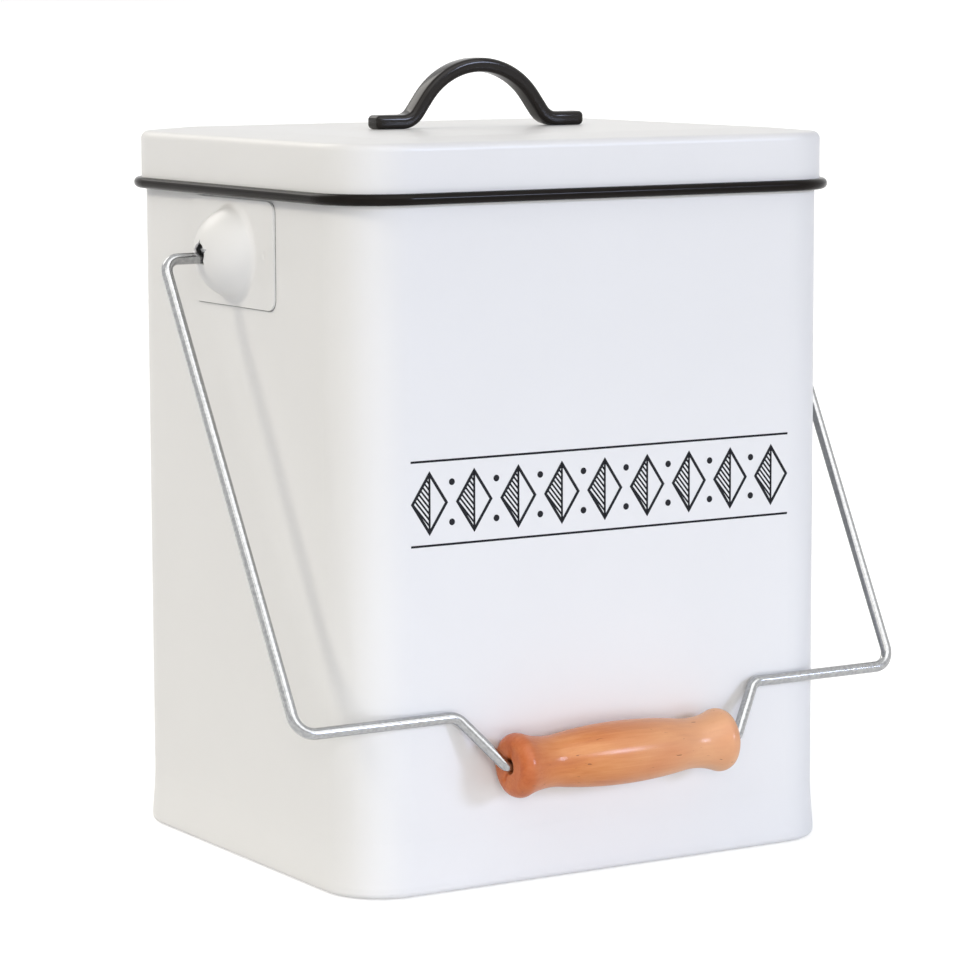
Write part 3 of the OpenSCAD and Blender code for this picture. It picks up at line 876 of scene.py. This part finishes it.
# %% Ornament values
BAND_Z = 122 * MM
BAND_HALF = 70.5 * MM
INK_T = 0.03 * MM
INK_Y = front_y - 0.02 * MM
LOZENGES = 9
LOZENGE_W, LOZENGE_H = 13.2 * MM, 20.0 * MM
STROKE = 0.95 * MM
SPINE = 0.7 * MM
SPINE_SHORT = 2.6 * STROKE
HATCH = 0.6 * MM
HATCH_PITCH = 1.55 * MM
HATCH_TURN = math.radians(40)
# the row of strokes begins this far to the left
HATCH_REACH = 1.5 * LOZENGE_W
# the strokes run on under the last tenth of the outline's width
HATCH_STOP = 0.9
DOT = 2.1 * MM
DOT_OFF = 6.2 * MM
RULE = 0.7 * MM
RULE_OFF = 13.0 * MM
pitch = (2 * BAND_HALF - LOZENGE_W) / (LOZENGES - 1)
print("a lozenge every", round(pitch / MM, 2), "mm")


# %% Helpers for ink
def ink_plate(name, width, height, sides=0, centre=(0, 0)):
    """A flat plate of ink on the front: a rectangle, or a figure with so many corners."""
    bpy.ops.object.select_all(action="DESELECT")
    flat = (math.radians(90), 0, 0)
    if sides:
        bpy.ops.mesh.primitive_circle_add(vertices=sides, radius=0.5, fill_type="NGON",
                                          rotation=flat)
    else:
        bpy.ops.mesh.primitive_plane_add(size=1, rotation=flat)
    plate = start(name)
    bpy.ops.transform.resize(value=(width, 1, height))
    bpy.ops.transform.translate(value=(centre[0], INK_Y, BAND_Z + centre[1]))
    return plate


def thicken(plate):
    """Gives a flat plate the thickness of the ink, towards the viewer."""
    bpy.ops.mesh.select_all(action="SELECT")
    push((0, -INK_T, 0))
    bpy.ops.mesh.select_all(action="SELECT")
    bpy.ops.mesh.normals_make_consistent(inside=False)
    only(plate)
    return plate


def cut(point, normal):
    """Cuts all of a mesh by a plane and deletes what lies on the normal's side."""
    bpy.ops.mesh.select_all(action="SELECT")
    bpy.ops.mesh.bisect(plane_co=point, plane_no=normal, clear_outer=True)


# %% One hatched lozenge
outline_plate = ink_plate("lozenge", LOZENGE_W, LOZENGE_H, sides=4)
bpy.ops.mesh.inset(thickness=STROKE)
bpy.ops.mesh.delete(type="FACE")
lozenge = [thicken(outline_plate)]
print("outline:", len(outline_plate.data.vertices), "vertices")

# %% Its hatching, cut to the left half
hatch = ink_plate("hatch", HATCH, 3 * LOZENGE_H, centre=(-HATCH_REACH, 0))
bpy.ops.transform.rotate(value=HATCH_TURN, orient_axis="Y",
                         center_override=(-HATCH_REACH, INK_Y, BAND_Z))
for _ in range(round(2 * HATCH_REACH / HATCH_PITCH)):
    bpy.ops.mesh.duplicate_move(TRANSFORM_OT_translate={"value": (HATCH_PITCH, 0, 0)})
stroke_across = STROKE * math.hypot(LOZENGE_W, LOZENGE_H) / LOZENGE_H
inner_w = LOZENGE_W / 2 - HATCH_STOP * stroke_across
for up in (-1, 1):
    cut((-inner_w, 0, BAND_Z), (-LOZENGE_H, 0, up * LOZENGE_W))
cut((0, 0, 0), (1, 0, 0))
lozenge.append(thicken(hatch))
print("hatching:", len(hatch.data.vertices), "vertices")

# %% Its middle line
lozenge.append(thicken(ink_plate("spine", SPINE, LOZENGE_H - SPINE_SHORT)))
print("lozenge parts:", [(part.name, len(part.data.vertices)) for part in lozenge])

# %% Copy it along the band
band = []
for index in range(LOZENGES):
    shift = -BAND_HALF + LOZENGE_W / 2 + index * pitch
    for part in lozenge:
        only(part)
        bpy.ops.object.duplicate()
        bpy.context.object.location.x = shift
        band.append(bpy.context.object)
    if index:
        for up in (-1, 1):
            dot = ink_plate("dot", DOT, DOT, sides=20, centre=(shift - pitch / 2, up * DOT_OFF))
            band.append(thicken(dot))
for up in (-1, 1):
    rule = ink_plate("rule", 2 * BAND_HALF, RULE, centre=(0, up * RULE_OFF))
    band.append(thicken(rule))
print("band parts:", len(band))

# %% Join the band
bpy.ops.object.select_all(action="DESELECT")
for part in lozenge:
    part.select_set(True)
bpy.ops.object.delete()
for part in band:
    part.select_set(True)
bpy.context.view_layer.objects.active = band[0]
bpy.ops.object.join()
printed_band = bpy.context.object
printed_band.name = "printed_band"
only(printed_band)
bpy.ops.object.transform_apply(location=True, rotation=True, scale=True)
dress(printed_band, ink)
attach(printed_band, "caddy")
print("band:", len(printed_band.data.polygons), "faces")
